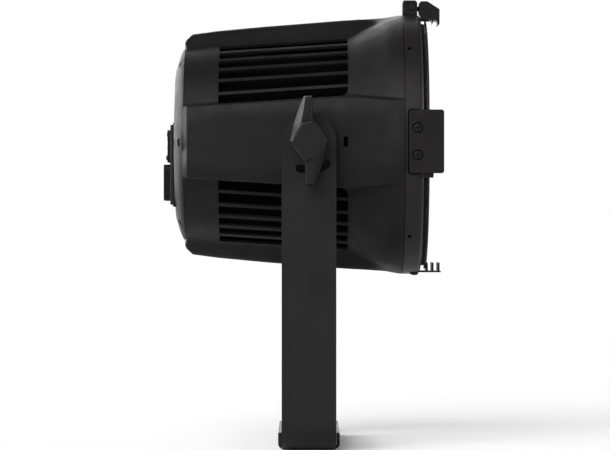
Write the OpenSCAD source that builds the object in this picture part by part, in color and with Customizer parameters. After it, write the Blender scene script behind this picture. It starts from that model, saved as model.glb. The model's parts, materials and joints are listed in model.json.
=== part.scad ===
// Par can stage light with LED source, tilting in a steel hanging yoke.
// Millimetres. +X is the beam direction, +Z is up, Y is the tilt axis.
// The origin is the centre of the yoke's hanging hole, on the underside of the crossbar.
// Inside the head, positions are measured from the tilt axis, which crosses the beam axis.

/* [Yoke] */
// Height of the tilt axis above the underside of the crossbar
pivot_height = 303; // [260:1:340]
// Width of each yoke arm
arm_width = 53.5; // [40:0.5:60]
// Distance from the middle to the outer face of an arm
arm_outer = 140; // [139:0.5:150]
// Thickness of the yoke strap
strap = 3; // [2.5:0.5:3]
// Outer radius of the bend between arm and crossbar
bend_radius = 30; // [20:1:40]
// Width of the crossbar channel
channel_width = 61; // [54:0.5:70]
// Height of the crossbar's turned-up edges
channel_height = 15.6; // [8:0.2:20]
// Diameter of the hanging hole for the clamp bolt
hanging_hole = 13; // [10:0.5:14]
// Radius of the arc slot about the tilt axis
arc_radius = 28; // [27:0.5:32]
// Width of the arc slot
arc_width = 7.8; // [5:0.2:9]

/* [Housing] */
// Wall thickness of the moulded housing
wall = 2.8; // [2:0.1:4]
// Front end of the ventilation slots
vent_front = 38.8; // [20:0.2:39]
// Radius of the rounded corner of each group of slots
vent_corner = 8; // [2:0.5:8]
// Rear end of the ventilation slots
vent_rear = -90; // [-100:1:-40]

/* [Front] */
// Outer radius of the front ring
ring_radius = 131.75; // [131:0.25:133]
// Opening of the front ring
ring_bore = 118; // [110:0.5:120]
// Radius of the clear front window
window_radius = 126; // [122:0.5:126]
// Distance from the beam axis to the seat of an accessory frame
seat = 128.4; // [128:0.1:129]

/* [Light engine] */
// Radius of the inner circle of lenses
lens_circle_1 = 44; // [42:1:46]
// Radius of the outer circle of lenses
lens_circle_2 = 88; // [86:1:92]
// Front radius of each lens
lens_radius = 19.8; // [16:0.2:20]
// Number of blades on the cooling fan
fan_blades = 7; // [5:1:9]

/* [Hidden] */
$fn = 64;
little = 0.01;
arm_inner = arm_outer - strap;
ring_back = 94.9;
ring_front = 112.9;
ring_round = 4;
window_back = 116.2;
window_thick = 2.5;
boss_face = 136;
boss_radius = 22;
stud_radius = 5;
insert_radius = 14;
rail_inner = 104;
rail_outer = 107;
plate_back = -136.6;
plate_face = -139.4;
data_z = -2.2;
power_z = -39;
socket_y = 21;
bezel_face = -134.9;
bezel_z = 44.5;
button_radius = 4;
pin_x = 104.7;
pin_z = 140.3;
latch_half = 15;
cover_screw_circle = 92.5;
cover_screw_seat = -126;
rail_rear = 98;
rail_half = 31.2;
shadow_gap = 0.8;

// Outline of the round shell between the ridges, as [radius, x]
shell_line = [[99.5, -123.5], [102.8, -92.4], [111.2, 40], [128.3, 80], [131.4, 94.3]];
// Outline that rounds off the shoulders of the ridges, as [radius, x]
shoulder_line = [[107, -125.5], [114.5, -118], [119, -92], [123.5, -44.7], [129.8, 35],
    [131.6, 88], [131.6, 94.3]];
// Flat outer faces of the ridges, as [x, distance from the beam axis]
ridge_line = [[-125.5, 102], [-124.3, 105.8], [-118.1, 111.9], [-92.6, 115.3], [-44.7, 119.9],
    [35, 126.2], [80, 128.9], [94.3, 131]];
// Slanted sides of the upper and lower ridges, as [x, distance from the beam axis]
slant_line = [[-125.5, 84.1], [42, 91.9], [94.3, 92]];
// Angle of those slanted sides from the horizontal
slant = 49.6;
// Half widths of the side ridges, as [x, half width]
wide_line = [[-125.5, 35.4], [-93.6, 37.4], [42, 45.8], [94.3, 41]];
// Lower and upper edges of the ventilation slots at x = 0, above the beam axis
vents = [[43.6, 52.6], [55.6, 65.8], [68.9, 77.3], [80.3, 87.5], [90.2, 96.3], [98.5, 104]];
// Rise of the slots along the beam
vent_slope = 0.063;

// Turns a solid drawn along Z so that it points along the beam
module along_x() {
    rotate([0, 90, 0]) children();
}

// Turns a solid drawn along Z so that it points out of the right side, towards -Y
module out_right() {
    rotate([90, 0, 0]) children();
}

// Places the head's pieces on the tilt axis
module at_pivot() {
    translate([0, 0, pivot_height]) children();
}

// Repeats the children on the right side and, mirrored, on the left
module both_sides() {
    children();
    mirror([0, 1, 0]) children();
}

// Box given by its two opposite corners
module box(low, high) {
    translate(low) cube(high - low);
}

// Round bar along X from one end to the other
module bar_x(radius, from, to) {
    translate([from, 0, 0]) along_x() cylinder(h = to - from, r = radius);
}

// Pan-head screw with a cross recess; the head stands on z = 0
module pan_screw(head_r, head_h, shank_r, shank_l) {
    recess = head_r * 1.1;
    difference() {
        union() {
            cylinder(h = head_h * 0.45, r = head_r);
            translate([0, 0, head_h * 0.45])
                cylinder(h = head_h * 0.55, r1 = head_r, r2 = head_r * 0.6);
        }
        translate([0, 0, head_h]) {
            cube([recess, head_r * 0.22, head_h], center = true);
            cube([head_r * 0.22, recess, head_h], center = true);
        }
    }
    translate([0, 0, -shank_l]) cylinder(h = shank_l + little, r = shank_r);
}

// Rectangle with rounded corners, drawn about its middle
module round_rect(width, depth, corner) {
    square([width - 2 * corner, depth], center = true);
    square([width, depth - 2 * corner], center = true);
    for (sx = [-1, 1])
        for (sy = [-1, 1])
            translate([sx * (width / 2 - corner), sy * (depth / 2 - corner)]) circle(r = corner);
}

// ---------- yoke ----------

module channel_section() {
    outer = 4.5;
    inner = outer - strap;
    difference() {
        union() {
            translate([-channel_width / 2, outer]) square([channel_width, channel_height - outer]);
            translate([outer - channel_width / 2, 0])
                square([channel_width - 2 * outer, channel_height]);
            for (s = [-1, 1]) translate([s * (channel_width / 2 - outer), outer]) circle(r = outer);
        }
        translate([strap - channel_width / 2, outer])
            square([channel_width - 2 * strap, channel_height]);
        translate([outer - channel_width / 2, strap])
            square([channel_width - 2 * outer, channel_height]);
        for (s = [-1, 1]) translate([s * (channel_width / 2 - outer), outer]) circle(r = inner);
    }
}

module arm_outline() {
    reach = pivot_height - bend_radius;
    translate([-arm_width / 2, -reach]) square([arm_width, reach]);
    circle(r = arm_width / 2);
}

module arm_holes() {
    slot_from = -20;
    slot_to = 39;
    slot_mid = (slot_from + slot_to) / 2;
    half_span = (slot_to - slot_from) / 2;
    circle(r = stud_radius + 0.35);
    intersection() {
        difference() {
            circle(r = arc_radius + arc_width / 2);
            circle(r = arc_radius - arc_width / 2);
        }
        rotate(slot_mid) polygon([[0, 0], [-2 * arc_radius, -2 * arc_radius / tan(half_span)],
            [2 * arc_radius, -2 * arc_radius / tan(half_span)]]);
    }
    for (a = [slot_from, slot_to])
        translate([arc_radius * sin(a), -arc_radius * cos(a)]) circle(r = arc_width / 2 - 0.1);
}

module yoke() {
    span = arm_outer - bend_radius;
    hang_holes = 38;
    color([0.16, 0.16, 0.165]) {
        both_sides() {
            at_pivot() translate([0, -arm_inner, 0]) out_right()
                linear_extrude(strap) difference() {
                    arm_outline();
                    arm_holes();
                }
            intersection() {
                translate([-arm_width / 2, -span, bend_radius]) along_x() difference() {
                    cylinder(h = arm_width, r = bend_radius);
                    translate([0, 0, -1]) cylinder(h = arm_width + 2, r = bend_radius - strap);
                }
                box([-arm_width, -arm_outer, 0], [arm_width, -span, bend_radius]);
            }
        }
        difference() {
            union() {
                translate([0, 100, 0]) rotate([90, 0, 0]) linear_extrude(200) channel_section();
                box([-arm_width / 2, -span, 0], [arm_width / 2, span, strap]);
            }
            translate([0, 0, -1]) cylinder(h = strap + 2, r = hanging_hole / 2);
            for (s = [-1, 1])
                translate([0, s * hang_holes, -1]) cylinder(h = strap + 2, r = 5.25);
        }
    }
}

// ---------- tilt pivot ----------

module pivot_insert() {
    translate([0, -rail_outer, 0]) out_right() difference() {
        union() {
            cylinder(h = 4, r = 20);
            cylinder(h = boss_face - rail_outer, r = insert_radius);
        }
        translate([0, 0, 2]) cylinder(h = 40, r = stud_radius + 0.05);
    }
}

module pivot_inserts() {
    color([0.62, 0.62, 0.64]) at_pivot() both_sides() pivot_insert();
}

module friction_discs() {
    color([0.08, 0.08, 0.08]) at_pivot() both_sides()
        translate([0, -boss_face, 0]) out_right() difference() {
            cylinder(h = 0.8, r = boss_radius - 1);
            translate([0, 0, -1]) cylinder(h = 3, r = stud_radius + 0.6);
        }
}

module knob_washer() {
    translate([0, -arm_outer - 0.2, 0]) out_right() difference() {
        cylinder(h = 1.6, r = 12);
        translate([0, 0, -1]) cylinder(h = 4, r = stud_radius + 0.35);
    }
}

module washer_right() {
    color([0.6, 0.6, 0.62]) at_pivot() knob_washer();
}

module washer_left() {
    color([0.6, 0.6, 0.62]) at_pivot() mirror([0, 1, 0]) knob_washer();
}

// One wing of the knob: a tapering block whose slanted side is bevelled
module knob_wing() {
    base_height = 14;
    hull() {
        linear_extrude(base_height) polygon([[-5, 43.6], [3.2, 43.6], [4, 22], [8, 12], [-15.5, 12]]);
        translate([0, 0, base_height])
            linear_extrude(6) polygon([[-2.4, 43.6], [3, 43.6], [3.8, 22], [6, 12], [-8, 12]]);
    }
}

module knob_body() {
    hub_height = 8;
    difference() {
        union() {
            cylinder(h = hub_height + 1, r = 13);
            translate([0, 0, hub_height]) {
                hull() {
                    linear_extrude(14) polygon([[-19, 0], [-15.5, 13], [7, 16],
                        [19, 0], [15.5, -13], [-7, -16]]);
                    linear_extrude(20) polygon([[-11, 0], [0, 17], [11, 0], [0, -17]]);
                }
                knob_wing();
                rotate(180) knob_wing();
            }
        }
        translate([0, 0, -1]) cylinder(h = 18, r = stud_radius);
    }
}

module knob_right() {
    color([0.17, 0.17, 0.175]) at_pivot()
        translate([0, -arm_outer - 2, 0]) out_right() knob_body();
}

module knob_left() {
    color([0.17, 0.17, 0.175]) at_pivot() mirror([0, 1, 0])
        translate([0, -arm_outer - 2, 0]) out_right() knob_body();
}

module knob_stud() {
    translate([0, -rail_outer - 4, 0]) out_right() cylinder(h = 48, r = stud_radius);
}

module stud_right() {
    color([0.7, 0.7, 0.72]) at_pivot() knob_stud();
}

module stud_left() {
    color([0.7, 0.7, 0.72]) at_pivot() mirror([0, 1, 0]) knob_stud();
}

// ---------- housing ----------

// Solid of revolution about the beam axis from an outline of [radius, x] points
module turned(line) {
    last = len(line) - 1;
    along_x() rotate_extrude(angle = 360)
        polygon(concat([[0, line[0][1]]], line, [[0, line[last][1]]]));
}

function inset(line, depth) = [for (p = line) [p[0] - depth, p[1]]];
function inset_y(line, depth) = [for (p = line) [p[0], p[1] - depth]];
function two_sided(line) = concat(line, [for (i = [len(line) - 1 : -1 : 0]) [line[i][0], -line[i][1]]]);

// Slab along X between a line of [x, distance] and its mirror image
module slab(line, depth) {
    rotate([90, 0, 0]) translate([0, 0, -150])
        linear_extrude(300) polygon(two_sided(inset_y(line, depth)));
}

module housing_form(depth) {
    turned(inset(shell_line, depth));
    intersection() {
        turned(inset(shoulder_line, depth));
        union() {
            intersection() {
                slab(ridge_line, depth);
                rotate([slant, 0, 0]) slab(slant_line, depth);
                rotate([-slant, 0, 0]) slab(slant_line, depth);
            }
            intersection() {
                rotate([90, 0, 0]) slab(ridge_line, depth);
                slab(wide_line, depth);
            }
        }
    }
}

// Outline of one ventilation slot, as [x, z]
function vent_outline(low, high) = [
    [vent_rear, low + vent_rear * vent_slope], [vent_front, low + vent_front * vent_slope],
    [vent_front, high + vent_front * vent_slope], [vent_rear, high + vent_rear * vent_slope]];

// The slot next to the side ridge has a rounded front corner
function rounded_vent(low, high) =
    let (start = vent_front - vent_corner, base = low + start * vent_slope)
    concat([vent_outline(low, high)[0]],
        [for (t = [0 : 15 : 90])
            [start + vent_corner * sin(t), base + vent_corner * (1 - cos(t))]],
        [vent_outline(low, high)[2], vent_outline(low, high)[3]]);

// One quarter's ventilation slots, cut straight through from the side
module vent_slots() {
    for (i = [0 : len(vents) - 1])
        translate([0, 150, 0]) rotate([90, 0, 0]) linear_extrude(140)
            polygon(i == 0 ? rounded_vent(vents[i][0], vents[i][1])
                : vent_outline(vents[i][0], vents[i][1]));
}

module cover_screw_places() {
    for (a = [30 : 60 : 330]) rotate([a, 0, 0]) translate([0, 0, cover_screw_circle]) children();
}

module main_housing() {
    slot_x = 36.2;
    color([0.155, 0.155, 0.16]) at_pivot() difference() {
        union() {
            difference() {
                housing_form(0);
                intersection() {
                    housing_form(wall);
                    bar_x(150, wall - 124, 95);
                }
                bar_x(96.5, -130, -110);
                bar_x(98.6, -130, -123.5);
            }
            cover_screw_places() bar_x(4.6, -122.5, -110);
            both_sides() translate([0, -117, 0]) out_right()
                cylinder(h = boss_face - 117, r = boss_radius);
        }
        for (sy = [0, 1])
            for (sz = [0, 1])
                mirror([0, sy, 0]) mirror([0, 0, sz]) vent_slots();
        both_sides() translate([0, -105, 0]) out_right() cylinder(h = 40, r = insert_radius + 0.05);
        box([slot_x - 2.15, -150, -4.35], [slot_x + 2.15, 150, 4.35]);
        cover_screw_places() bar_x(1.4, -130, -109);
    }
}

// Upper and lower dust screens behind the ventilation slots, each a half tube on end lips with
// an upright web that closes the hollow of the ridge over it
module vent_screens() {
    from = -93;
    to = 42;
    tube = 92;
    low = 20;
    reach = 140;
    color([0.04, 0.04, 0.042]) at_pivot() for (s = [0, 1]) mirror([0, 0, s]) {
        intersection() {
            along_x() rotate_extrude() {
                translate([tube, from]) square([2, to - from]);
                translate([tube, from]) square([7.6, 2]);
                translate([tube, to - 2]) square([16.6, 2]);
            }
            translate([from, 0, 0]) rotate([90, 0, 90]) linear_extrude(to - from)
                polygon([[0, 0], [reach * cos(low), reach * sin(low)], [reach, reach],
                    [-reach, reach], [-reach * cos(low), reach * sin(low)]]);
        }
        box([from, -1, tube + 0.5], [to, 1, 110]);
    }
}

// ---------- rear ----------

module rear_gasket() {
    color([0.05, 0.05, 0.05]) at_pivot() difference() {
        bar_x(96.3, -122.6, -120.6);
        bar_x(87, -123, -120);
        cover_screw_places() bar_x(4.8, -130, -109);
    }
}

module rear_cover() {
    outside = [[25, -136.5], [56, -135.5], [76, -134.5], [89.5, -130.4], [96, -127.5],
        [98.3, -125], [98.3, -123.6]];
    inside = [[25, -133.5], [55, -132.5], [74, -131.5], [86.5, -127.6], [86.5, -122.7]];
    color([0.155, 0.155, 0.16]) at_pivot() difference() {
        union() {
            difference() {
                turned(outside);
                turned(inside);
            }
            difference() {
                bar_x(96.3, -123.7, -122.7);
                bar_x(86, -124, -122);
            }
            box([plate_back, -48, -63.5], [-131, 48, 21]);
        }
        box([-140, -39.9, 27.1], [-120, 39.9, 61.9]);
        box([-140, -42, -58], [-120, 42, 15]);
        for (s = [-1, 1]) box([-140, s * 76 - 1.5, -3.25], [-120, s * 76 + 1.5, 3.25]);
        cover_screw_places() {
            bar_x(1.8, -140, -120);
            bar_x(4, -140, cover_screw_seat);
        }
    }
}

module cover_screws() {
    color([0.3, 0.3, 0.31]) at_pivot() cover_screw_places()
        translate([cover_screw_seat, 0, 0]) rotate([0, -90, 0]) pan_screw(3.5, 2.4, 1.35, 14);
}

// Four posts that carry the control board
module board_places() {
    for (y = [-37, 37])
        for (z = [29.8, 59.2]) translate([0, y, z]) children();
}

module display_bezel() {
    color([0.1, 0.1, 0.1]) at_pivot() {
        difference() {
            box([bezel_face, -39.8, 27.2], [-131.6, 39.8, 61.8]);
            box([bezel_face - 1, -35, 31.5], [-133.4, 9, 57.5]);
            box([bezel_face - 1, -32, 34], [-130, 6, 55]);
            for (y = [18, 31])
                for (z = [-6.5, 6.5])
                    translate([0, y, bezel_z + z]) bar_x(button_radius + 0.35, -140, -130);
        }
        board_places() {
            bar_x(2.4, -132, -128.3);
            bar_x(1.5, -129, -125.6);
        }
    }
}

module display_window() {
    color([0.05, 0.07, 0.09]) at_pivot() box([bezel_face + 0.1, -34.9, 31.6], [-133.4, 8.9, 57.4]);
}

module menu_button(y, z) {
    color([0.22, 0.22, 0.23]) at_pivot() translate([0, y, bezel_z + z]) {
        bar_x(button_radius, -136.4, -130.6);
        bar_x(button_radius + 1.2, -131.2, -130.2);
    }
}

module menu_button_1() {
    menu_button(18, 6.5);
}

module menu_button_2() {
    menu_button(31, 6.5);
}

module menu_button_3() {
    menu_button(18, -6.5);
}

module menu_button_4() {
    menu_button(31, -6.5);
}

module control_board() {
    color([0.05, 0.22, 0.12]) at_pivot() {
        difference() {
            box([-128.2, -42, 24], [-126.6, 42, 64]);
            board_places() bar_x(1.6, -130, -120);
        }
        box([-126.7, -10, 36], [-124.8, 4, 50]);
        box([-126.7, 12, 30], [-119, 32, 36]);
        for (y = [18, 31])
            for (z = [-6.5, 6.5])
                translate([0, y, bezel_z + z]) box([-129.1, -2.5, -2.5], [-128.1, 2.5, 2.5]);
    }
}

module connector_plate() {
    color([0.13, 0.13, 0.135]) at_pivot() difference() {
        translate([plate_back, 0, -21.25]) rotate([0, -90, 0])
            linear_extrude(plate_back - plate_face) round_rect(80.5, 94, 3);
        for (s = [-1, 1]) {
            translate([0, s * socket_y, data_z]) bar_x(12.1, -150, -120);
            translate([0, s * socket_y, power_z]) bar_x(12.6, -150, -120);
        }
        translate([0, 0, power_z]) bar_x(5.6, -150, -120);
    }
}

// Flange and barrel shared by the two data sockets
module data_flange() {
    difference() {
        union() {
            translate([plate_face, 0, 0]) rotate([0, -90, 0])
                linear_extrude(3.5) round_rect(32.4, 26, 3);
            bar_x(12, plate_face - 0.5, -116);
        }
        bar_x(9.5, -150, -122);
        for (s = [-1, 1]) translate([0, s * 9.5, s * 12]) bar_x(1.7, -150, -139.2);
        box([-144, 9.8, -6.5], [-141, 12.6, 8.5]);
    }
}

// Places small round features on the circle of five signal contacts
module five_contacts() {
    for (a = [-110 : 55 : 110]) rotate([a, 0, 0]) translate([0, 0, -6]) children();
}

module data_in_socket() {
    color([0.25, 0.25, 0.26]) at_pivot() translate([0, -socket_y, data_z]) {
        data_flange();
        five_contacts() bar_x(1, -136, -121.5);
    }
}

module data_out_socket() {
    color([0.25, 0.25, 0.26]) at_pivot() translate([0, socket_y, data_z]) {
        data_flange();
        difference() {
            bar_x(8, -138.4, -121.5);
            five_contacts() bar_x(1.2, -150, -126);
        }
    }
}

module release_tab() {
    color([0.55, 0.55, 0.56]) at_pivot() translate([0, socket_y, data_z])
        box([-145.8, 10.1, -5.8], [-142.4, 12.2, 7.8]);
}

// Sealed power socket body with its raised collar
module power_body() {
    difference() {
        union() {
            translate([plate_face, 0, 0]) rotate([0, -90, 0])
                linear_extrude(7.2) round_rect(36.5, 27, 5);
            bar_x(12.5, plate_face - 0.5, -112);
        }
        bar_x(10, -150, -121);
        for (s = [-1, 1]) translate([0, s * 10, s * 14.5]) {
            bar_x(1.9, -150, -144.6);
            bar_x(1.05, -145, -141);
        }
    }
    for (a = [0, 120, 240]) rotate([a, 0, 0]) translate([0, 0, 4.5]) bar_x(1.6, -140, -120.5);
}

module power_in_socket() {
    color([0.06, 0.07, 0.1]) at_pivot() translate([0, -socket_y, power_z]) power_body();
}

module power_out_socket() {
    color([0.16, 0.16, 0.17]) at_pivot() translate([0, socket_y, power_z]) power_body();
}

module fuse_holder() {
    color([0.12, 0.12, 0.12]) at_pivot() translate([0, 0, power_z]) difference() {
        union() {
            bar_x(7, plate_face - 2, plate_face);
            bar_x(5.5, plate_face - 1, -112);
        }
        bar_x(4.4, -150, -114);
    }
}

module fuse_cap() {
    color([0.1, 0.1, 0.1]) at_pivot() translate([0, 0, power_z]) {
        difference() {
            bar_x(6, -146, -141.7);
            box([-147, -0.6, -4.5], [-145, 0.6, 4.5]);
        }
        bar_x(4, -142, -136);
    }
}

module fuse_link() {
    color([0.75, 0.75, 0.72]) at_pivot() translate([0, 0, power_z]) bar_x(2.6, -135.9, -116);
}

module socket_screws() {
    color([0.35, 0.35, 0.36]) at_pivot() for (s = [-1, 1]) {
        for (t = [-1, 1]) {
            translate([-142.9, s * socket_y + t * 9.5, data_z + t * 12]) rotate([0, -90, 0])
                pan_screw(2.4, 1.4, 1.3, 3);
            translate([-144.6, s * socket_y + t * 10, power_z + t * 14.5]) rotate([0, -90, 0])
                pan_screw(1.85, 1.2, 1, 3);
        }
    }
}

// ---------- front ----------

module front_ring() {
    color([0.16, 0.16, 0.165]) at_pivot() difference() {
        union() {
            along_x() rotate_extrude() {
                translate([ring_bore, ring_back])
                    square([ring_radius - ring_bore, ring_front - ring_round - ring_back]);
                translate([ring_bore, ring_back])
                    square([ring_radius - ring_round - ring_bore, ring_front - ring_back]);
                translate([ring_radius - ring_round, ring_front - ring_round]) circle(r = ring_round);
                polygon([[124, 89], [127.1, 89], [128.3, 94.6], [128.3, 95.5], [124, 95.5]]);
            }
        }
        both_sides() box([rail_rear - shadow_gap, -150, -rail_half - shadow_gap],
            [120, -seat, rail_half + shadow_gap]);
        box([94, -16.1, 128], [111, 16.1, 150]);
        box([102.5, -26, -150], [120, 26, -128.2]);
        for (a = [45 : 90 : 315]) rotate([a, 0, 0]) translate([99.7, 0, 124])
            cylinder(h = 10, r = 2.25);
        both_sides() for (s = [-1, 1]) translate([106.7, -seat, s * 13.4]) out_right()
            translate([0, 0, -8]) cylinder(h = 9, r = 1.6);
        for (s = [-1, 1]) translate([107.2, s * 12, -129]) cylinder(h = 8, r = 1.6);
        for (s = [-1, 1]) translate([98.2, s * 10, 121]) cylinder(h = 8, r = 1.6);
    }
}

module ring_screws() {
    color([0.25, 0.25, 0.26]) at_pivot() for (a = [45 : 90 : 315])
        rotate([a, 0, 0]) translate([99.7, 0, 124]) difference() {
            cylinder(h = 4, r = 2.2);
            translate([0, 0, 2.5]) cylinder(h = 3, r = 1.2, $fn = 6);
        }
}

// Slotted rail with three lips that holds two accessory frames, along Z on the right side
module side_rail() {
    lip_in = 121;
    outer = 134;
    length = 34.4;
    difference() {
        union() {
            translate([0, -seat, 0]) out_right() linear_extrude(outer - seat)
                translate([rail_rear + length / 2, 0]) round_rect(length, 2 * rail_half, 2.5);
            for (x = [119, 124.8, 130.7])
                box([x, -seat - 1, -rail_half + 1], [x + 1.5, -lip_in, rail_half - 1]);
            box([112, -131.4, -rail_half - 4.4], [122, -seat - 0.2, -rail_half + 3]);
        }
        for (s = [-1, 1]) translate([106.7, 0, s * 13.4]) out_right() {
            cylinder(h = 150, r = 1.9);
            translate([0, 0, outer - 2.6]) cylinder(h = 20, r = 5.65);
        }
    }
}

module side_rail_right() {
    color([0.15, 0.15, 0.152]) at_pivot() side_rail();
}

module side_rail_left() {
    color([0.15, 0.15, 0.152]) at_pivot() mirror([0, 1, 0]) side_rail();
}

module rail_screws() {
    color([0.4, 0.4, 0.41]) at_pivot() both_sides() for (s = [-1, 1])
        translate([106.7, -131.4, s * 13.4]) out_right() pan_screw(4.3, 2.5, 1.55, 9);
}

module bottom_rail() {
    low = -129.8;
    color([0.15, 0.15, 0.152]) at_pivot() difference() {
        union() {
            box([104, -25, low], [133.6, 25, low + 1.5]);
            for (x = [119, 124.8, 130.9]) box([x, -25, low + 0.5], [x + 1.5, 25, -120]);
        }
        for (s = [-1, 1]) translate([107.2, s * 12, -140]) cylinder(h = 20, r = 1.9);
    }
}

module bottom_screws() {
    color([0.4, 0.4, 0.41]) at_pivot() for (s = [-1, 1])
        translate([107.2, s * 12, -129.8]) rotate([180, 0, 0]) pan_screw(4.05, 3.1, 1.55, 7);
}

module latch_base() {
    cheek = 6.4;
    color([0.15, 0.15, 0.152]) at_pivot() difference() {
        union() {
            box([95.2, -16, 128.1], [110.1, 16, 144.2]);
            translate([0, 16, 0]) rotate([90, 0, 0]) linear_extrude(32)
                polygon([[95.2, 144], [96.4, 146.2], [108, 146.2], [110.1, 144.2], [110.1, 144]]);
        }
        for (s = [-1, 1]) box([95, s * 16 - 0.6, 130.9], [110.3, s * 16 + 0.6, 131.7]);
        for (s = [-1, 1]) translate([98.2, s * 10, 127]) cylinder(h = 9.5, r = 1.6);
        box([98, -cheek, 131.5], [112, cheek, 150]);
        translate([pin_x, 20, pin_z]) rotate([90, 0, 0]) cylinder(h = 40, r = 2);
        both_sides() translate([pin_x, -14.4, pin_z]) out_right() cylinder(h = 5, r = 4.4);
    }
}

module latch_screws() {
    color([0.4, 0.4, 0.41]) at_pivot() for (s = [-1, 1])
        translate([98.2, s * 10, 121.2]) cylinder(h = 14.8, r = 1.55);
}

module latch_pin() {
    color([0.3, 0.3, 0.31]) at_pivot() translate([pin_x, 0, pin_z]) rotate([90, 0, 0]) {
        translate([0, 0, -14.4]) cylinder(h = 28.8, r = 1.95);
        for (s = [-1, 1]) translate([0, 0, s * 15.1]) cylinder(h = 1.4, r = 3.7, center = true);
    }
}

module latch_lever() {
    half = 6;
    barrel = 4.2;
    color([0.15, 0.15, 0.152]) at_pivot() difference() {
        union() {
            translate([0, latch_half, 0]) rotate([90, 0, 0]) linear_extrude(2 * latch_half)
                polygon([[112.1, 143.6], [113.9, 145.4], [120.3, 145.4], [132.8, 137.4], [132.8, 122.4],
                    [130.9, 120.8], [130.6, 125.4], [129.6, 126.4], [126.9, 126.4], [125.6, 122.6],
                    [124.8, 126.4], [113.4, 126.4], [113.4, 131], [112.1, 133.5]]);
            translate([pin_x, half, pin_z]) rotate([90, 0, 0]) cylinder(h = 2 * half, r = barrel);
            box([pin_x, -half, pin_z - barrel], [113.3, half, pin_z - barrel + 4.4]);
        }
        translate([pin_x, 20, pin_z]) rotate([90, 0, 0]) cylinder(h = 40, r = 2);
        box([pin_x - 5, -3.2, 130], [111, 3.2, 150]);
        box([115.4, -latch_half + 2, 120], [122.4, latch_half - 2, 142]);
    }
}

module latch_spring() {
    wire = 0.5;
    coil = 2.9;
    leg = 0.4;
    color([0.72, 0.72, 0.74]) at_pivot() translate([pin_x, 0, pin_z]) rotate([90, 0, 0]) {
        rotate_extrude() for (i = [-2 : 2]) translate([coil, i * 0.9]) circle(r = wire);
        translate([-coil, 0, -1.8]) rotate([90, 0, 0]) cylinder(h = 6, r = leg);
        translate([0, -coil, 1.8]) rotate([0, 90, 0]) cylinder(h = 5, r = leg);
    }
}

module window_gasket() {
    color([0.04, 0.04, 0.04]) at_pivot() difference() {
        bar_x(123, ring_front, window_back);
        bar_x(ring_bore, ring_front - 1, window_back + 1);
    }
}

module front_window() {
    color([0.75, 0.78, 0.8, 0.35]) at_pivot()
        bar_x(window_radius, window_back, window_back + window_thick);
}

// ---------- light engine ----------

// Repeats the children at the nineteen lens positions
module lens_places() {
    children();
    for (a = [0 : 60 : 300]) rotate([a, 0, 0]) translate([0, 0, lens_circle_1]) children();
    for (a = [15 : 30 : 345]) rotate([a, 0, 0]) translate([0, 0, lens_circle_2]) children();
}

module lens_holder() {
    color([0.05, 0.05, 0.05]) at_pivot() {
        difference() {
            bar_x(ring_bore - 0.5, 95, 99);
            lens_places() bar_x(lens_radius - 0.8, 90, 105);
        }
        for (a = [30 : 60 : 330]) rotate([a, 0, 0]) translate([0, 0, 66]) bar_x(4, 73.6, 96);
    }
}

module lenses() {
    color([0.85, 0.87, 0.9, 0.4]) at_pivot() lens_places() {
        translate([78.2, 0, 0]) along_x() cylinder(h = 15, r1 = 7, r2 = lens_radius - 1);
        bar_x(lens_radius, 93, 95);
        bar_x(lens_radius - 1, 94.5, 98);
    }
}

module led_board() {
    color([0.85, 0.85, 0.83]) at_pivot() bar_x(110, 72, 73.6);
}

module led_emitters() {
    color([0.9, 0.85, 0.5]) at_pivot() lens_places()
        translate([73.6, 0, 0]) {
            box([0, -4, -4], [1.6, 4, 4]);
            bar_x(2.9, 1.5, 3);
        }
}

module heat_sink() {
    fin_pitch = 11;
    color([0.1, 0.1, 0.105]) at_pivot() {
        bar_x(110, 62, 72);
        intersection() {
            bar_x(90, 23, 63);
            for (i = [-8 : 8])
                box([22, i * fin_pitch - 1.3, -95], [63, i * fin_pitch + 1.3, 95]);
        }
    }
}

module fan_frame() {
    half = 60;
    color([0.06, 0.06, 0.06]) at_pivot() {
        difference() {
            box([-5, -half, -half], [20, half, half]);
            bar_x(57.5, -6, 21);
            for (a = [45 : 90 : 315]) rotate([a, 0, 0]) translate([0, 0, 74.2]) bar_x(2.2, -10, 30);
        }
        bar_x(20, -5, -2);
        for (a = [0 : 90 : 270]) rotate([a, 0, 0]) box([-5, -3, 18], [-2, 3, 58.5]);
        bar_x(2.5, -3, 8);
    }
}

module fan_rotor() {
    blade_pitch = 32;
    color([0.09, 0.09, 0.09]) at_pivot() {
        difference() {
            union() {
                bar_x(19, -0.5, 18);
                for (i = [0 : fan_blades - 1]) rotate([i * 360 / fan_blades, 0, 0])
                    translate([9, 0, 17]) rotate([0, 0, blade_pitch])
                        box([-11, -1.1, 0], [11, 1.1, 38.5]);
            }
            bar_x(2.56, -2, 10);
            bar_x(17, -2, 4);
        }
    }
}

module fan_screws() {
    color([0.5, 0.5, 0.51]) at_pivot() for (a = [45 : 90 : 315])
        rotate([a, 0, 0]) translate([-8, 0, 74.2]) rotate([0, -90, 0]) pan_screw(3.6, 2.4, 2, 27);
}

module chassis() {
    low = -26;
    color([0.5, 0.5, 0.51]) at_pivot() difference() {
        union() {
            both_sides() {
                box([-105, -rail_outer, low], [62, -rail_inner, 22]);
                box([59, -rail_outer, -15], [62, -91, 15]);
            }
            box([-8, -rail_inner - 1, -22], [-5, rail_inner + 1, 22]);
            box([-8, -64, -64], [-5, 64, 64]);
            box([-105, -rail_inner - 1, low], [-6, rail_inner + 1, low + 3]);
        }
        bar_x(57, -10, -4);
        for (a = [45 : 90 : 315]) rotate([a, 0, 0]) translate([0, 0, 74.2]) bar_x(2.3, -10, 30);
        for (x = [-90, -32])
            for (y = [-70, 70]) translate([x, y, low - 1]) cylinder(h = 5, r = 2.1);
    }
}

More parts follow.
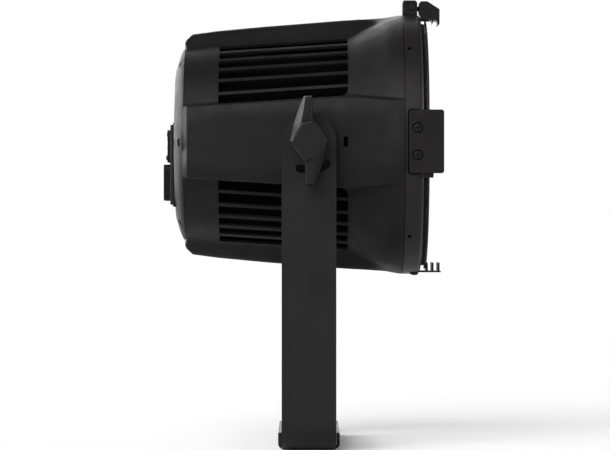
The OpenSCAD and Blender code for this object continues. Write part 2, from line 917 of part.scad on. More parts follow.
module power_supply() {
    color([0.66, 0.66, 0.67]) at_pivot() difference() {
        box([-100, -45, -23], [-22, 45, 17]);
        for (x = [-92 : 8 : -28]) box([x - 1.5, -37, 16], [x + 1.5, 37, 18]);
    }
}

module driver_board() {
    top = -31;
    color([0.05, 0.22, 0.12]) at_pivot() {
        difference() {
            box([-98, -76, top - 1.6], [-24, 76, top]);
            for (x = [-90, -32])
                for (y = [-70, 70]) translate([x, y, top - 3]) cylinder(h = 5, r = 2.1);
        }
        for (y = [-48 : 24 : 48]) translate([-76, y, top - 13]) cylinder(h = 12, r = 5);
        for (y = [-48 : 24 : 48]) box([-58, y - 6, top - 9], [-46, y + 6, top - 1]);
    }
}

module standoffs() {
    color([0.72, 0.62, 0.3]) at_pivot() for (x = [-90, -32])
        for (y = [-70, 70]) translate([x, y, -31]) {
            cylinder(h = 5, r = 3.4, $fn = 6);
            translate([0, 0, -4]) cylinder(h = 11.9, r = 2);
            translate([0, 0, -4]) cylinder(h = 2.2, r = 3.2, $fn = 6);
        }
}

yoke();
pivot_inserts();
friction_discs();
washer_right();
washer_left();
knob_right();
knob_left();
stud_right();
stud_left();
main_housing();
vent_screens();
rear_gasket();
rear_cover();
cover_screws();
display_bezel();
display_window();
menu_button_1();
menu_button_2();
menu_button_3();
menu_button_4();
control_board();
connector_plate();
data_in_socket();
data_out_socket();
release_tab();
power_in_socket();
power_out_socket();
fuse_holder();
fuse_cap();
fuse_link();
socket_screws();
front_ring();
ring_screws();
side_rail_right();
side_rail_left();
rail_screws();
bottom_rail();
bottom_screws();
latch_base();
latch_screws();
latch_pin();
latch_lever();
latch_spring();
window_gasket();
front_window();
lens_holder();
lenses();
led_board();
led_emitters();
heat_sink();
fan_frame();
fan_rotor();
fan_screws();
chassis();
power_supply();
driver_board();
standoffs();
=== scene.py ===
import json
import math

import bmesh
import bpy
import numpy as np
from mathutils import Matrix, Vector

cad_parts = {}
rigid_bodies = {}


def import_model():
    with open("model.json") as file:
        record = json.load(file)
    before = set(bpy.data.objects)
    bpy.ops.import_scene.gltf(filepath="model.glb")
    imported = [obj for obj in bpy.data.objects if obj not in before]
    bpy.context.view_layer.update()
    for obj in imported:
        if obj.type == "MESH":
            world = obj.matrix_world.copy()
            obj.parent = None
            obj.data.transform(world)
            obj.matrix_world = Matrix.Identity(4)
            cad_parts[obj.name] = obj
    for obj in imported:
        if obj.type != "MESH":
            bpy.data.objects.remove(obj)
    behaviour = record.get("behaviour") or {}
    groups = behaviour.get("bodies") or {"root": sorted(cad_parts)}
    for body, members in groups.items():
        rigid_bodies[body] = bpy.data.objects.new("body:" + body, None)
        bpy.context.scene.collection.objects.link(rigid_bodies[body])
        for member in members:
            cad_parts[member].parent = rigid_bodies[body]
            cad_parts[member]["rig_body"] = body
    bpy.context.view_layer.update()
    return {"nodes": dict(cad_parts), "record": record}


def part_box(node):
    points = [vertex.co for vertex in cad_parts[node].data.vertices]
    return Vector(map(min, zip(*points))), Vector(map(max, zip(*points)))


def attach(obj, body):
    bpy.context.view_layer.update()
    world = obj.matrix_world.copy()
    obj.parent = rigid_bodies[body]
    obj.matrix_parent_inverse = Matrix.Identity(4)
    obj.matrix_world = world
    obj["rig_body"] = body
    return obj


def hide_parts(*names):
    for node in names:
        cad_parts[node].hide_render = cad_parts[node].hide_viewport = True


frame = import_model()

# The CAD works in millimetres from the tilt axis; Blender in metres from the hanging hole.
MM = 0.001
pin_low, pin_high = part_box("stud_right")
PIVOT = Vector((0, 0, (pin_low.z + pin_high.z) / 2))
SLOTS = {row["node"]: row["material_slot"] for row in frame["record"]["subparts"]}
BODY = {name: node["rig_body"] for name, node in frame["nodes"].items()}


# ---------- materials ----------

class Shader:
    """A Principled material with helpers for the few procedural patterns used here."""

    def __init__(self, name, color, rough, metal=0.0, level=0.5, **constants):
        self.material = bpy.data.materials.new(name)
        self.material.use_nodes = True
        self.nodes = self.material.node_tree.nodes
        self.links = self.material.node_tree.links
        self.shader = self.nodes["Principled BSDF"]
        self.color = color
        self.rough = rough
        self.put("Base Color", (*color, 1))
        self.put("Roughness", rough)
        self.put("Metallic", metal)
        self.put("Specular IOR Level", level)
        for key, value in constants.items():
            self.put(key.replace("_", " "), value)
        self.place = self.nodes.new("ShaderNodeTexCoord").outputs["Object"]
        self.height = None

    def put(self, socket, value):
        self.shader.inputs[socket].default_value = value

    def stretched(self, stretch):
        mapping = self.nodes.new("ShaderNodeMapping")
        mapping.inputs["Scale"].default_value = stretch
        self.links.new(self.place, mapping.inputs["Vector"])
        return mapping.outputs["Vector"]

    def noise(self, scale, detail=3.0, roughness=0.55, stretch=None):
        node = self.nodes.new("ShaderNodeTexNoise")
        node.inputs["Scale"].default_value = scale
        node.inputs["Detail"].default_value = detail
        node.inputs["Roughness"].default_value = roughness
        self.links.new(self.stretched(stretch) if stretch else self.place, node.inputs["Vector"])
        return node.outputs["Fac"]

    def ranged(self, value, low, high, to_low, to_high):
        node = self.nodes.new("ShaderNodeMapRange")
        for key, number in zip(("From Min", "From Max", "To Min", "To Max"),
                               (low, high, to_low, to_high)):
            node.inputs[key].default_value = number
        self.links.new(value, node.inputs["Value"])
        return node.outputs["Result"]

    def math(self, kind, first, second):
        node = self.nodes.new("ShaderNodeMath")
        node.operation = kind
        for socket, value in zip(node.inputs, (first, second)):
            if isinstance(value, (int, float)):
                socket.default_value = value
            else:
                self.links.new(value, socket)
        return node.outputs["Value"]

    def mottle(self, scale, amount):
        """Slow changes of tone about the base colour."""
        ramp = self.nodes.new("ShaderNodeValToRGB")
        for stop, position, change in zip(ramp.color_ramp.elements, (0.34, 0.68),
                                          (1 - amount, 1 + amount)):
            stop.position = position
            stop.color = (*(min(1, c * change) for c in self.color), 1)
        self.links.new(self.noise(scale), ramp.inputs["Fac"])
        self.links.new(ramp.outputs["Color"], self.shader.inputs["Base Color"])
        return self

    def gloss(self, scale, spread, stretch=None):
        """Uneven roughness."""
        result = self.ranged(self.noise(scale, 4, 0.6, stretch), 0.3, 0.7,
                             max(0.02, self.rough - spread), min(1, self.rough + spread))
        self.links.new(result, self.shader.inputs["Roughness"])
        return self

    def grain(self, scale, depth, stretch=None, detail=2.0):
        """Surface relief, depth in metres; several layers add up."""
        layer = self.math("MULTIPLY", self.noise(scale, detail, 0.6, stretch), depth / MM)
        self.height = self.math("ADD", self.height, layer) if self.height else layer
        return self

    def done(self):
        if self.height:
            bump = self.nodes.new("ShaderNodeBump")
            bump.inputs["Strength"].default_value = 1.0
            bump.inputs["Distance"].default_value = MM
            self.links.new(self.height, bump.inputs["Height"])
            self.links.new(bump.outputs["Normal"], self.shader.inputs["Normal"])
        return self.material


def moulded(name, color, rough=0.5, level=0.13):
    """Spark-textured moulded plastic."""
    return (Shader(name, color, rough, level=level).mottle(38, 0.18).gloss(60, 0.07)
            .grain(1500, 0.00003).grain(320, 0.00002).done())


def painted(name, color, rough=0.46, level=0.17):
    """Fine powder coat with orange peel."""
    return (Shader(name, color, rough, level=level).mottle(26, 0.14).gloss(45, 0.06)
            .grain(1100, 0.00004, detail=3).grain(240, 0.00003).done())


def metal(name, color, rough=0.32, stretch=None):
    return (Shader(name, color, rough, metal=1.0).mottle(90, 0.1)
            .gloss(160, 0.09, stretch).grain(700, 0.00001, stretch).done())


def glassy(name, color, rough, ior=1.49):
    return (Shader(name, color, rough, Transmission_Weight=1.0, IOR=ior)
            .gloss(40, min(0.03, rough * 0.5)).grain(60, 0.000004).done())


LOOKS = {
    "yoke_paint": painted("yoke_powder_coat", (0.0078, 0.0078, 0.008)),
    "housing_plastic": moulded("housing_moulding", (0.0068, 0.0068, 0.007)),
    "ring_paint": painted("ring_paint", (0.0105, 0.0092, 0.0092), 0.42),
    "rail_plastic": moulded("rail_moulding", (0.0074, 0.0064, 0.0065), 0.46),
    "knob_plastic": moulded("knob_moulding", (0.006, 0.006, 0.0062), 0.48, 0.17),
    "panel_plastic": moulded("panel_moulding", (0.0105, 0.0105, 0.0107), 0.46, 0.3),
    "panel_metal": painted("panel_sheet", (0.013, 0.013, 0.0132), 0.42),
    "display_pane": Shader("display_pane", (0.006, 0.009, 0.011), 0.12)
    .mottle(20, 0.2).gloss(30, 0.04).grain(400, 0.000003).done(),
    "button_plastic": moulded("button_moulding", (0.06, 0.06, 0.062), 0.5),
    "bright_steel": metal("zinc_steel", (0.55, 0.55, 0.56), 0.33),
    "dark_screws": painted("blackened_steel", (0.0085, 0.0082, 0.0082), 0.5, 0.15),
    "black_rubber": moulded("rubber", (0.006, 0.006, 0.006), 0.75, 0.2),
    "window_pane": glassy("window_pane", (0.93, 0.95, 0.96), 0.03),
    "lens_plastic": glassy("lens_acrylic", (0.95, 0.97, 0.98), 0.04),
    "green_board": moulded("board_lacquer", (0.015, 0.11, 0.045), 0.35, 0.5),
    "white_board": moulded("white_lacquer", (0.62, 0.62, 0.6), 0.4, 0.5),
    "emitter_dome": Shader("emitter_silicone", (0.75, 0.6, 0.16), 0.3)
    .mottle(300, 0.2).gloss(200, 0.08).grain(500, 0.000004).done(),
    "sink_aluminium": metal("black_anodised", (0.06, 0.06, 0.065), 0.45, (1, 1, 6)),
    "fan_plastic": moulded("fan_moulding", (0.015, 0.015, 0.015), 0.5),
    "chassis_steel": metal("chassis_sheet", (0.2, 0.2, 0.205), 0.45),
    "standoff_brass": metal("brass", (0.6, 0.45, 0.2), 0.35),
    "socket_metal": metal("black_chrome", (0.016, 0.016, 0.0165), 0.42),
    "inlet_plastic": moulded("inlet_moulding", (0.0035, 0.004, 0.0065), 0.45, 0.12),
    "outlet_plastic": moulded("outlet_moulding", (0.012, 0.012, 0.013), 0.45, 0.12),
    "screen_plastic": moulded("screen_felt", (0.0014, 0.0014, 0.0014), 0.95, 0.02),
    "fuse_glass": glassy("fuse_glass", (0.9, 0.92, 0.9), 0.05, ior=1.5),
}


# ---------- pieces ----------

def dress(piece, node):
    """Gives a piece the material of its CAD node's slot and the node's body, and hides the CAD node
    it stands for.
    """
    slot = SLOTS[node]
    piece.data.materials.clear()
    piece.data.materials.append(LOOKS[slot])
    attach(piece, BODY[node])
    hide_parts(node)
    return piece


def add_detail(piece, node, slot):
    """Small piece that rides with a CAD node and stands for none."""
    piece.data.materials.append(LOOKS[slot])
    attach(piece, BODY[node])


def raw_mesh(name, points, faces, smooth=True):
    """Object from points as they are given."""
    mesh = bpy.data.meshes.new(name)
    mesh.from_pydata(points, [], faces)
    mesh.update()
    mesh.polygons.foreach_set("use_smooth", [smooth] * len(mesh.polygons))
    piece = bpy.data.objects.new(name, mesh)
    bpy.context.scene.collection.objects.link(piece)
    return piece


def new_mesh(name, points, faces, smooth=True):
    """Object from points in millimetres about the tilt axis."""
    return raw_mesh(name, [tuple(PIVOT + Vector(p) * MM) for p in points], faces, smooth)


def merged(piece):
    """Welds points that coincide and drops faces without area."""
    bm = bmesh.new()
    bm.from_mesh(piece.data)
    bmesh.ops.remove_doubles(bm, verts=bm.verts, dist=1e-6)
    bmesh.ops.dissolve_degenerate(bm, edges=bm.edges, dist=1e-6)
    bmesh.ops.recalc_face_normals(bm, faces=bm.faces)
    bm.to_mesh(piece.data)
    bm.free()
    return piece


def rounded(piece, width, segments, angle=30):
    """Rounds the edges sharper than angle; width in millimetres."""
    bevel = piece.modifiers.new("edges", "BEVEL")
    bevel.width = width * MM
    bevel.segments = segments
    bevel.limit_method = "ANGLE"
    bevel.angle_limit = math.radians(angle)
    bevel.harden_normals = True
    bevel.use_clamp_overlap = True
    return piece


def outward_normals(piece):
    """Turns every face to look out of its solid."""
    bm = bmesh.new()
    bm.from_mesh(piece.data)
    bmesh.ops.recalc_face_normals(bm, faces=bm.faces)
    bm.to_mesh(piece.data)
    bm.free()
    return piece


def add_lathe(points, faces, profile, place, segments):
    """Adds a closed ring of revolution; place(radius, height, cos, sin) gives the point."""
    base, n = len(points), len(profile)
    for i in range(segments):
        t = 2 * math.pi * i / segments
        points += [place(r, h, math.cos(t), math.sin(t)) for r, h in profile]
    for i in range(segments):
        k = (i + 1) % segments
        for c in range(n):
            d = (c + 1) % n
            faces.append((base + i * n + c, base + k * n + c, base + k * n + d, base + i * n + d))


def add_loft(points, faces, layers, place):
    """Closed solid through polygons of equal length, each given with its height."""
    base, n = len(points), len(layers[0][0])
    for outline, height in layers:
        points += [place(x, z, height) for x, z in outline]
    for level in range(len(layers) - 1):
        low, high = base + level * n, base + (level + 1) * n
        faces += [(low + i, low + (i + 1) % n, high + (i + 1) % n, high + i) for i in range(n)]
    faces.append(tuple(base + i for i in range(n))[::-1])
    faces.append(tuple(base + (len(layers) - 1) * n + i for i in range(n)))


def clean_copy(node, name):
    """Copy of a CAD node with its flat faces joined up again."""
    mesh = frame["nodes"][node].data.copy()
    mesh.name = name
    bm = bmesh.new()
    bm.from_mesh(mesh)
    bmesh.ops.remove_doubles(bm, verts=bm.verts, dist=2e-6)
    bmesh.ops.dissolve_limit(bm, angle_limit=math.radians(0.4), verts=bm.verts, edges=bm.edges)
    for face in bm.faces:
        face.smooth = True
    bm.to_mesh(mesh)
    bm.free()
    for key in [a.name for a in mesh.attributes if a.name == "custom_normal"]:
        mesh.attributes.remove(mesh.attributes[key])
    piece = bpy.data.objects.new(name, mesh)
    bpy.context.scene.collection.objects.link(piece)
    return piece


def refine(node, width, segments):
    """The CAD shape with its edges rounded."""
    return dress(rounded(clean_copy(node, node + "_piece"), width, segments), node)


# ---------- housing ----------

# Outlines of the housing, as (x, distance from the beam axis) or (x, half width)
SHELL = [(-123.5, 99.5), (-92.4, 102.8), (40, 111.2), (80, 128.3), (94.3, 131.4)]
SHOULDER = [(-125.5, 107), (-120.4, 113.2), (-92, 119), (-44.7, 123.5), (35, 129.8),
            (88, 131.6), (94.3, 131.6)]
RIDGE = [(-125.5, 102), (-124.3, 105.8), (-118.1, 111.9), (-92.6, 115.3), (-44.7, 119.9),
         (35, 126.2), (80, 128.9), (94.3, 131)]
SIDE_RIDGE = [(-125.5, 103.6), (-120.4, 111.6)] + RIDGE[3:]
SLANT = [(-125.5, 84.1), (42, 91.9), (94.3, 92)]
SLANT_ANGLE = math.radians(90 - 49.6)
WIDE = [(-125.5, 35.4), (-93.6, 37.4), (42, 45.8), (94.3, 41)]
WALL = 2.8
# How far along x the outlines are averaged, and how softly the faces run into each other
FLARE_WINDOW, RIDGE_WINDOW = 3, 0.6
TOP_BLEND, SIDE_BLEND, SLANT_BLEND, FOOT_BLEND = 1.5, 5, 3, 4
EASE_START = -110
REAR_RIM, RIM_BORE, FLOOR_BACK = -123.3, 96.5, -119
VENT_REAR, VENT_FRONT = -90.0, 38.8
VENTS = [(43.6, 52.6), (55.6, 65.8), (68.9, 77.3), (80.3, 87.5), (90.2, 96.3), (98.5, 104)]
VENT_SLOPE = 0.063
CORNER = 8.0
FADE_END = 56  # the rounded corner of the slot row fades out of the grid by this x
SIDE_SLOT = (34.05, 38.35)
SIDE_SLOT_HALF = 5.0
POCKET_FLOOR, POCKET_MOUTH, POCKET_HALF = 108, 123.6, 6.6


def along(table, x, window=0.0):
    """Table value at x, averaged over a window to soften its corners."""
    xs, values = zip(*table)
    steps = np.linspace(-window, window, 5) if window else [0.0]
    return sum(np.interp(x + s, xs, values) for s in steps) / len(steps)


def soft_min(a, b, k):
    """Smaller of two values, blended over a width k."""
    h = np.clip(0.5 + 0.5 * (b - a) / k, 0, 1)
    return b * (1 - h) + a * h - k * h * (1 - h)


def soft_max(a, b, k):
    return -soft_min(-a, -b, k)


def housing_radius(angle, x):
    """Outer radius of the housing; angle in radians from the side axis towards the top."""
    shell = along(SHELL, x, FLARE_WINDOW)
    shoulder, flat, side_flat = (along(line, x, RIDGE_WINDOW)
                                 for line in (SHOULDER, RIDGE, SIDE_RIDGE))
    side_top = soft_min(side_flat / np.maximum(np.cos(angle), 0.3), shoulder, TOP_BLEND)
    side_wall = along(WIDE, x) / np.maximum(np.sin(np.abs(angle)), 0.05)
    side = soft_min(side_top, side_wall, SIDE_BLEND)
    high_top = soft_min(flat / np.maximum(np.sin(angle), 0.3), shoulder, TOP_BLEND)
    high_slant = along(SLANT, x) / np.maximum(np.cos(angle - SLANT_ANGLE), 0.3)
    high = soft_min(high_top, high_slant, SLANT_BLEND)
    reach = soft_max(soft_max(shell, side, FOOT_BLEND), high, SLANT_BLEND)
    return np.minimum(reach, np.maximum(shoulder, shell))


def vent_floor(x):
    """Lower edge of the first slot, whose front corner is rounded."""
    start = VENT_FRONT - CORNER
    flat = VENTS[0][0] + VENT_SLOPE * np.minimum(x, start)
    into = np.clip(x - start, 0, CORNER)
    rise = CORNER - np.sqrt(np.maximum(CORNER ** 2 - into ** 2, 0))
    back = np.clip((FADE_END - x) / (FADE_END - VENT_FRONT), 0, 1)
    plain = VENTS[0][0] + VENT_SLOPE * x
    return np.where(x <= VENT_FRONT, flat + rise, plain * (1 - back) + (flat + rise) * back)


# Places along the beam where the housing grid has a ring of points
STATIONS = sorted({round(float(v), 4) for v in [
    -125.5, -124.9, -124.2, -123.2, -122, -121.3, -120.8, -120.3, -119.7, -118.9, -118.1,
    -117.4, -116, -113.5, -110, -105, -100, -95, -91.5,
    94.3, 92.5, 90.5, 88.5, 86.5, 84, 81.5, *SIDE_SLOT,
    *np.linspace(VENT_REAR, VENT_FRONT - CORNER, 34),
    *(VENT_FRONT - CORNER * (1 - np.sin(np.linspace(0, math.pi / 2, 8)))),
    *np.linspace(40.2, 79, 20)]})


def quadrant_angles(x):
    """Angles of the grid lines at one station and whether the strip after each one is a slot."""
    fine = np.radians(np.linspace(0, 90, 1801))
    height = np.maximum.accumulate(housing_radius(fine, np.full_like(fine, x)) * np.sin(fine))
    height += np.linspace(0, 1e-6, len(fine))

    def angle_at(z):
        return float(np.degrees(np.interp(z, height, fine)))

    # each mark is an angle, the number of strips after it and what lies there
    marks = [(0.0, 1, "side"), (angle_at(SIDE_SLOT_HALF), 13, "")]
    marks.append((angle_at(vent_floor(x) - 9.5), 13, ""))
    for k, (low, high) in enumerate(VENTS):
        low = vent_floor(x) if k == 0 else low + VENT_SLOPE * x
        marks.append((angle_at(low), 5, "vent"))
        marks.append((angle_at(high + VENT_SLOPE * x), 2, ""))
    top = marks.pop()[0]
    marks += [(top, 7, ""), (top + (90 - top) * 0.45, 5, ""), (90.0, 0, "")]
    angles, kinds = [], []
    for (first, count, kind), (second, _, _) in zip(marks, marks[1:]):
        for step in range(count):
            angles.append(first + (second - first) * step / count)
            kinds.append(kind)
    return angles + [90.0], kinds


def build_housing():
    """Shell with ridges, slots, pivot bosses and the blind pockets behind the side slots."""
    rows = len(STATIONS)
    columns = [quadrant_angles(x) for x in STATIONS]
    kinds = columns[0][1]
    quarter = np.radians(np.array([c[0] for c in columns]).T)
    x = np.array(STATIONS)[None, :].repeat(len(quarter), 0)
    # the ridges reach further back than the shell between them, easing over the last stretch
    ridge = np.clip((housing_radius(quarter, np.full_like(x, SHELL[0][0])) - 100.5) / 7, 0, 1)
    ridge = ridge * ridge * (3 - 2 * ridge)
    eased = np.clip((EASE_START - x) / (EASE_START - RIDGE[0][0]), 0, 1)
    place = x + eased * (SHELL[0][0] - RIDGE[0][0]) * (1 - ridge)
    radius = housing_radius(quarter, place)
    turn = np.concatenate([quarter, (math.pi - quarter)[::-1][1:], (math.pi + quarter)[1:],
                           (2 * math.pi - quarter)[::-1][1:-1]])
    place, radius = (np.concatenate([v, v[::-1][1:], v[1:], v[::-1][1:-1]])
                     for v in (place, radius))
    kinds = kinds + kinds[::-1] + kinds + kinds[::-1]
    count = len(turn)
    outer = np.stack([place, radius * np.cos(turn), radius * np.sin(turn)], -1)
    round_step = np.roll(outer, -1, 0) - np.roll(outer, 1, 0)
    normal = np.cross(round_step, np.gradient(outer, axis=1))
    normal /= np.linalg.norm(normal, axis=-1, keepdims=True)
    outward = np.stack([np.zeros_like(turn), np.cos(turn), np.sin(turn)], -1)
    normal *= np.sign((normal * outward).sum(-1, keepdims=True))
    inner = outer - WALL * normal
    inner[..., 0] = np.maximum(inner[..., 0], [FLOOR_BACK + 0.02 * j for j in range(rows)])
    inner[:, -1, 0] = STATIONS[-1]
    points = [tuple(p) for layer in (outer, inner) for p in layer.reshape(-1, 3)]

    def at(i, j, layer=0):
        return layer * count * rows + (i % count) * rows + j

    kept = np.ones((count, rows - 1), bool)
    for j in range(rows - 1):
        middle = (STATIONS[j] + STATIONS[j + 1]) / 2
        for i, kind in enumerate(kinds):
            vent = kind == "vent" and VENT_REAR < middle < VENT_FRONT
            slot = kind == "side" and SIDE_SLOT[0] < middle < SIDE_SLOT[1]
            kept[i, j] = not (vent or slot)
    faces = []
    for i in range(count):
        for j in range(rows - 1):
            if not kept[i, j]:
                continue
            faces.append((at(i, j), at(i + 1, j), at(i + 1, j + 1), at(i, j + 1)))
            faces.append((at(i, j, 1), at(i, j + 1, 1), at(i + 1, j + 1, 1), at(i + 1, j, 1)))
            for missing, p, q in ((not kept[(i - 1) % count, j], (i, j), (i, j + 1)),
                                  (not kept[(i + 1) % count, j], (i + 1, j + 1), (i + 1, j)),
                                  (j > 0 and not kept[i, j - 1], (i + 1, j), (i, j)),
                                  (j < rows - 2 and not kept[i, j + 1 if j < rows - 2 else j],
                                   (i, j + 1), (i + 1, j + 1))):
                if missing:
                    faces.append((at(*p), at(*q), at(*q, 1), at(*p, 1)))
        last = rows - 1
        faces.append((at(i, last), at(i + 1, last), at(i + 1, last, 1), at(i, last, 1)))
    # rear rim: a step for the cover and a bore behind it
    chain = [(98.6, None), (98.6, REAR_RIM), (RIM_BORE, REAR_RIM), (RIM_BORE, FLOOR_BACK)]
    base = len(points)
    for i in range(count):
        y, z = math.cos(turn[i, 0]), math.sin(turn[i, 0])
        points += [(place[i, 0] if depth is None else depth, r * y, r * z) for r, depth in chain]
    for i in range(count):
        k = (i + 1) % count
        ring = [(at(i, 0), at(k, 0))]
        ring += [(base + i * 4 + c, base + k * 4 + c) for c in range(4)]
        ring.append((at(i, 0, 1), at(k, 0, 1)))
        faces += [(q, p, r, t) for (p, q), (r, t) in zip(ring, ring[1:])]
    # pivot bosses, with a small fillet at the foot
    profile = [(14.05, 118), (14.05, 135.6), (14.4, 136), (21.3, 136), (22, 135.3), (22, 127),
               (22.4, 125.4), (23.4, 124.2), (25, 123.4), (25, 118)]
    for side in (-1, 1):
        add_lathe(points, faces, profile, lambda r, y, c, s: (r * c, side * y, r * s), 72)
    # a blind pocket behind each small side slot
    x_low, x_high = SIDE_SLOT
    low_y, high_y, half = POCKET_FLOOR + 1, POCKET_MOUTH, POCKET_HALF
    walls = (((x_low - 1.4, POCKET_FLOOR, -half), (x_high + 1.4, POCKET_FLOOR + 1.2, half)),
             ((x_low - 1.4, low_y, -half), (x_low - 0.2, high_y, half)),
             ((x_high + 0.2, low_y, -half), (x_high + 1.4, high_y, half)),
             ((x_low - 0.4, low_y, -half), (x_high + 0.4, high_y, 1.2 - half)),
             ((x_low - 0.4, low_y, half - 1.2), (x_high + 0.4, high_y, half)))
    for side in (-1, 1):
        for low, high in walls:
            outline = [(low[0], low[2]), (high[0], low[2]), (high[0], high[2]), (low[0], high[2])]
            add_loft(points, faces, [(outline, low[1]), (outline, high[1])],
                     lambda x, z, y: (x, side * y, z))
    piece = new_mesh("housing_shell", points, faces)
    outward_normals(piece)
    return dress(rounded(piece, 0.4, 2, 50), "main_housing")


build_housing()

# ---------- tilt knobs and studs ----------

# Half outlines of the wing, as (x, z) about the tilt axis
KNOB_EDGE = [(-5.1, 43.5), (3.3, 43.6), (4.0, 21), (10.4, 13.6), (19, 0), (16.6, -9),
             (14.3, -18.5), (9.4, -33)]
KNOB_FACE = [(-3.6, 42.2), (2.4, 42.5), (2.9, 21.6), (9.2, 13.2), (17.4, 0), (13.6, -8.4),
             (7.4, -19), (4.8, -32.5)]
KNOB_HUB = [(-7.2, 18.6), (3.6, 20.6), (10.6, 12.6), (17.8, 0.6), (15.2, -7)]
KNOB_BASE, KNOB_HEIGHT = 150.0, 20.0


def doubled(line):
    """Completes a half outline by turning it half round."""
    return line + [(-x, -z) for x, z in line]


def shrunk(outline, amount):
    """Moves every point of an outline towards the tilt axis."""
    return [(x * (1 - amount / math.hypot(x, z)), z * (1 - amount / math.hypot(x, z)))
            for x, z in outline]


def build_knob(node, side):
    """Wing, raised hub and neck of a tilt knob; side is -1 for the right, 1 for the left."""
    points, faces = [], []

    def place(x, z, height):
        return (x, side * (KNOB_BASE + height), z)

    edge, face, hub = doubled(KNOB_EDGE), doubled(KNOB_FACE), doubled(KNOB_HUB)
    add_loft(points, faces, [(shrunk(edge, 0.5), 0), (edge, 0.9), (edge, 6.8), (face, 16.4)], place)
    add_loft(points, faces, [(hub, 14.0), (hub, 17.4), (shrunk(hub, 1.5), 19.3),
                             (shrunk(hub, 3.2), KNOB_HEIGHT)], place)
    neck = [(5, 142), (12.2, 142), (13, 142.8), (13, 148), (14.6, 150.6), (5, 150.6)]
    add_lathe(points, faces, neck, lambda r, y, c, s: (r * c, side * y, r * s), 64)
    piece = outward_normals(new_mesh(node + "_wing", points, faces))
    return dress(rounded(piece, 0.7, 3, 14), node)


def build_stud(node, side):
    """Pin with a cut thread; both ends stay plain for a short way."""
    start, end, pitch = 111.0, 159.0, 1.5
    crest, root = 4.95, 4.25
    profile = [(0, start), (4.2, start), (4.7, start + 0.6)]
    y = start + 1.2
    while y < end - 1.6:
        profile += [(crest, y), (crest, y + 0.2), (root, y + 0.75), (root, y + 0.95)]
        y += pitch
    profile += [(crest, end - 0.6), (4.4, end), (0, end)]
    points, faces = [], []
    add_lathe(points, faces, profile, lambda r, h, c, s: (r * c, side * h, r * s), 40)
    return dress(outward_normals(merged(new_mesh(node + "_thread", points, faces))), node)


for node, side in (("knob_right", -1), ("knob_left", 1)):
    build_knob(node, side)
for node, side in (("stud_right", -1), ("stud_left", 1)):
    build_stud(node, side)

# ---------- cross-head screws ----------

def cross_head():
    """One screw of unit radius and unit head height along +Z, recess cut in."""
    points, faces = [], []
    dome = [(0, -0.02), (1, -0.02), (1, 0.42), (0.97, 0.56), (0.88, 0.72), (0.7, 0.87),
            (0.42, 0.97), (0, 1.0)]
    add_lathe(points, faces, dome, lambda r, h, c, s: (r * c, r * s, h), 40)
    head = merged(raw_mesh("screw_head", points, faces))
    points, faces = [], []
    for turn in (0, math.pi / 2):
        c, s = math.cos(turn), math.sin(turn)
        wide = [(-0.74, -0.15), (0.74, -0.15), (0.74, 0.15), (-0.74, 0.15)]
        slim = [(-0.5, -0.12), (0.5, -0.12), (0.5, 0.12), (-0.5, 0.12)]
        add_loft(points, faces, [(slim, 0.05), (wide, 1.1)],
                 lambda x, z, h: (x * c - z * s, x * s + z * c, h))
    cutter = outward_normals(raw_mesh("screw_cross", points, faces))
    cut = head.modifiers.new("recess", "BOOLEAN")
    cut.operation, cut.object, cut.solver = "DIFFERENCE", cutter, "EXACT"
    cut.use_self = True
    bpy.context.view_layer.update()
    result = bpy.data.meshes.new_from_object(
        head.evaluated_get(bpy.context.evaluated_depsgraph_get()))
    shape = ([tuple(v.co) for v in result.vertices], [tuple(f.vertices) for f in result.polygons])
    for item in (head, cutter):
        bpy.data.objects.remove(item)
    return shape


HEAD_POINTS, HEAD_FACES = cross_head()


def build_screws(node, screws, twist=0.6, step=1.9):
    """screws: (place, direction, head radius, head height, shank radius, shank length)."""
    points, faces = [], []
    for number, (where, direction, radius, height, shank, length) in enumerate(screws):
        turn = Vector(direction).to_track_quat("Z", "Y") @ Matrix.Rotation(
            twist + step * number, 3, "Z").to_quaternion()
        base = len(points)
        points += [tuple(Vector(where) + turn @ Vector((x * radius, y * radius, z * height)))
                   for x, y, z in HEAD_POINTS]
        faces += [tuple(base + v for v in face) for face in HEAD_FACES]
        steps = max(2, int(length / 0.9))
        pin = [(0, 0), (shank, 0)]
        for k in range(steps):
            low = -length * k / steps
            pin += [(shank, low - 0.1), (shank * 0.82, low - 0.45 * length / steps)]
        pin += [(shank * 0.6, -length), (0, -length)]
        add_lathe(points, faces, pin,
                  lambda r, h, c, s: tuple(Vector(where) + turn @ Vector((r * c, r * s, h))), 16)
    piece = merged(new_mesh(node + "_heads", points, faces))
    return dress(rounded(outward_normals(piece), 0.09, 2, 35), node)


def around(radius, degrees):
    """Y and Z of a point on a circle about the beam axis."""
    a = math.radians(degrees)
    return -radius * math.sin(a), radius * math.cos(a)


build_screws("rail_screws", [((106.7, side * 131.4, z), (0, side, 0), 4.3, 2.5, 1.55, 9)
                             for side in (-1, 1) for z in (-13.4, 13.4)], 0.12, -0.1)
build_screws("bottom_screws", [((107.2, y, -129.8), (0, 0, -1), 4.05, 3.1, 1.55, 7)
                               for y in (-12, 12)])
build_screws("cover_screws", [((-126, *around(92.5, a)), (-1, 0, 0), 3.5, 2.4, 1.35, 14)
                              for a in range(30, 360, 60)])
build_screws("fan_screws", [((-8, *around(74.2, a)), (-1, 0, 0), 3.6, 2.4, 2, 27)
                            for a in range(45, 360, 90)])
build_screws("socket_screws", [
    ((x, s * 21 + t * y, z + t * up), (-1, 0, 0), r, h, shank, 3)
    for x, y, z, up, r, h, shank in ((-142.9, 9.5, -2.2, 12, 2.4, 1.4, 1.3),
                                     (-144.6, 10, -39, 14.5, 1.85, 1.2, 1.0))
    for s in (-1, 1) for t in (-1, 1)])

# ---------- painted shadow strips round the rails, and rim at the mouth ---

RING_RADIUS = 131.75
RAIL_HALF, RAIL_REAR, RAIL_CORNER = 31.2, 98.0, 2.5
SEAT_DEPTH = 126.4


